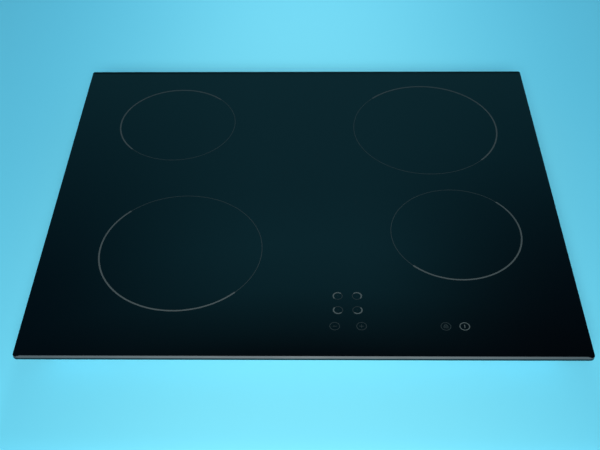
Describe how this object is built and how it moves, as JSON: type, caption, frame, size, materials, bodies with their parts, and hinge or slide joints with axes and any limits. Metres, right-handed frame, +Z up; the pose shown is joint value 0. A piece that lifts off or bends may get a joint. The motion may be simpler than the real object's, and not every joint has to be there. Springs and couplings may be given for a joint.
{
  "type": "built-in glass-ceramic hob",
  "caption": "Built-in electric hob: black glass-ceramic panel with printed cooking zones and touch keys over a sheet-steel tray with sprung radiant heaters and swing-out worktop clamps.",
  "frame": {"origin": "middle of the underside of the tray", "axes": "+X to the user's right along the glass's long side, -Y towards the user, +Z up through the glass"},
  "size_m": [0.595, 0.51, 0.05],
  "materials": {
    "black_glass": "gloss",
    "grey_print": "satin",
    "gasket_foam": "matte",
    "silicone": "satin",
    "galvanised_steel": "satin",
    "screw_steel": "satin",
    "clamp_steel": "satin",
    "spring_steel": "satin",
    "dish_steel": "matte",
    "insulation_board": "matte",
    "insulation_rim": "matte",
    "ribbon_alloy": "matte",
    "limiter_ceramic": "matte",
    "carrier_plastic": "matte",
    "circuit_board": "satin",
    "pad_foam": "matte",
    "display_plastic": "satin",
    "relay_plastic": "satin",
    "part_plastic": "satin",
    "pale_plastic": "satin",
    "black_plastic": "satin",
    "bush_rubber": "matte",
    "brass": "satin",
    "brown_wire": "satin",
    "green_wire": "satin",
    "grey_wire": "satin",
    "red_wire": "satin",
    "blue_wire": "satin",
    "white_wire": "satin",
    "black_wire": "satin"
  },
  "bodies": {
    "hob": {"glass_panel": "black_glass", "zone_print": "grey_print", "control_print": "grey_print", "worktop_gasket": "gasket_foam", "silicone_bond": "silicone", "glass_frame": "galvanised_steel", "tray": "galvanised_steel", "tray_screws": "screw_steel", "rear_left_springs": "spring_steel", "rear_left_leads": "red_wire", "rear_right_springs": "spring_steel", "rear_right_leads": "blue_wire", "front_left_springs": "spring_steel", "front_left_leads": "white_wire", "front_right_springs": "spring_steel", "front_right_leads": "black_wire", "touch_carrier": "carrier_plastic", "touch_board": "circuit_board", "touch_pads": "pad_foam", "displays": "display_plastic", "heat_shield": "galvanised_steel", "board_base": "carrier_plastic", "power_board": "circuit_board", "relays": "relay_plastic", "power_parts": "part_plastic", "terminal_box": "pale_plastic", "terminal_block": "pale_plastic", "terminal_screws": "brass", "cable_bush": "bush_rubber", "cable_bar": "black_plastic", "cable_screws": "screw_steel", "clamp_screws": "screw_steel", "supply_wires": "brown_wire", "earth_wire": "green_wire", "ribbon_cable": "grey_wire"},
    "rear_left_heater": {"rear_left_dish": "dish_steel", "rear_left_base": "insulation_board", "rear_left_rim": "insulation_rim", "rear_left_ribbon": "ribbon_alloy", "rear_left_limiter": "limiter_ceramic"},
    "rear_left_clamp_arm": {"rear_left_clamp": "clamp_steel"},
    "rear_right_heater": {"rear_right_dish": "dish_steel", "rear_right_base": "insulation_board", "rear_right_rim": "insulation_rim", "rear_right_ribbon": "ribbon_alloy", "rear_right_limiter": "limiter_ceramic"},
    "rear_right_clamp_arm": {"rear_right_clamp": "clamp_steel"},
    "front_left_heater": {"front_left_dish": "dish_steel", "front_left_base": "insulation_board", "front_left_rim": "insulation_rim", "front_left_ribbon": "ribbon_alloy", "front_left_limiter": "limiter_ceramic"},
    "front_left_clamp_arm": {"front_left_clamp": "clamp_steel"},
    "front_right_heater": {"front_right_dish": "dish_steel", "front_right_base": "insulation_board", "front_right_rim": "insulation_rim", "front_right_ribbon": "ribbon_alloy", "front_right_limiter": "limiter_ceramic"},
    "front_right_clamp_arm": {"front_right_clamp": "clamp_steel"},
    "terminal_lid": {"terminal_cover": "black_plastic"}
  },
  "joints": [
    {"name": "rear_left_heater_float", "type": "slide", "parent": "hob", "child": "rear_left_heater", "axis": [0, 0, 1], "range_m": [-0.0025, 0], "stiffness_N_per_m": 8000, "springref_m": 0.004, "deforming": ["rear_left_springs", "rear_left_leads"]},
    {"name": "rear_right_heater_float", "type": "slide", "parent": "hob", "child": "rear_right_heater", "axis": [0, 0, 1], "range_m": [-0.0025, 0], "stiffness_N_per_m": 8000, "springref_m": 0.004, "deforming": ["rear_right_springs", "rear_right_leads"]},
    {"name": "front_left_heater_float", "type": "slide", "parent": "hob", "child": "front_left_heater", "axis": [0, 0, 1], "range_m": [-0.0025, 0], "stiffness_N_per_m": 8000, "springref_m": 0.004, "deforming": ["front_left_springs", "front_left_leads"]},
    {"name": "front_right_heater_float", "type": "slide", "parent": "hob", "child": "front_right_heater", "axis": [0, 0, 1], "range_m": [-0.0025, 0], "stiffness_N_per_m": 8000, "springref_m": 0.004, "deforming": ["front_right_springs", "front_right_leads"]},
    {"name": "rear_left_clamp_swing", "type": "hinge", "parent": "hob", "child": "rear_left_clamp_arm", "pos_m": [-0.261, 0.218, 0.003], "axis": [0, 0, -1], "range_deg": [0, 90]},
    {"name": "rear_right_clamp_swing", "type": "hinge", "parent": "hob", "child": "rear_right_clamp_arm", "pos_m": [0.261, 0.218, 0.003], "axis": [0, 0, 1], "range_deg": [0, 90]},
    {"name": "front_left_clamp_swing", "type": "hinge", "parent": "hob", "child": "front_left_clamp_arm", "pos_m": [-0.261, -0.179, 0.003], "axis": [0, 0, 1], "range_deg": [0, 90]},
    {"name": "front_right_clamp_swing", "type": "hinge", "parent": "hob", "child": "front_right_clamp_arm", "pos_m": [0.261, -0.179, 0.003], "axis": [0, 0, -1], "range_deg": [0, 90]},
    {"name": "terminal_cover_hinge", "type": "hinge", "parent": "hob", "child": "terminal_lid", "pos_m": [-0.04, 0.2386, 0.005], "axis": [-1, 0, 0], "range_deg": [0, 90]}
  ]
}
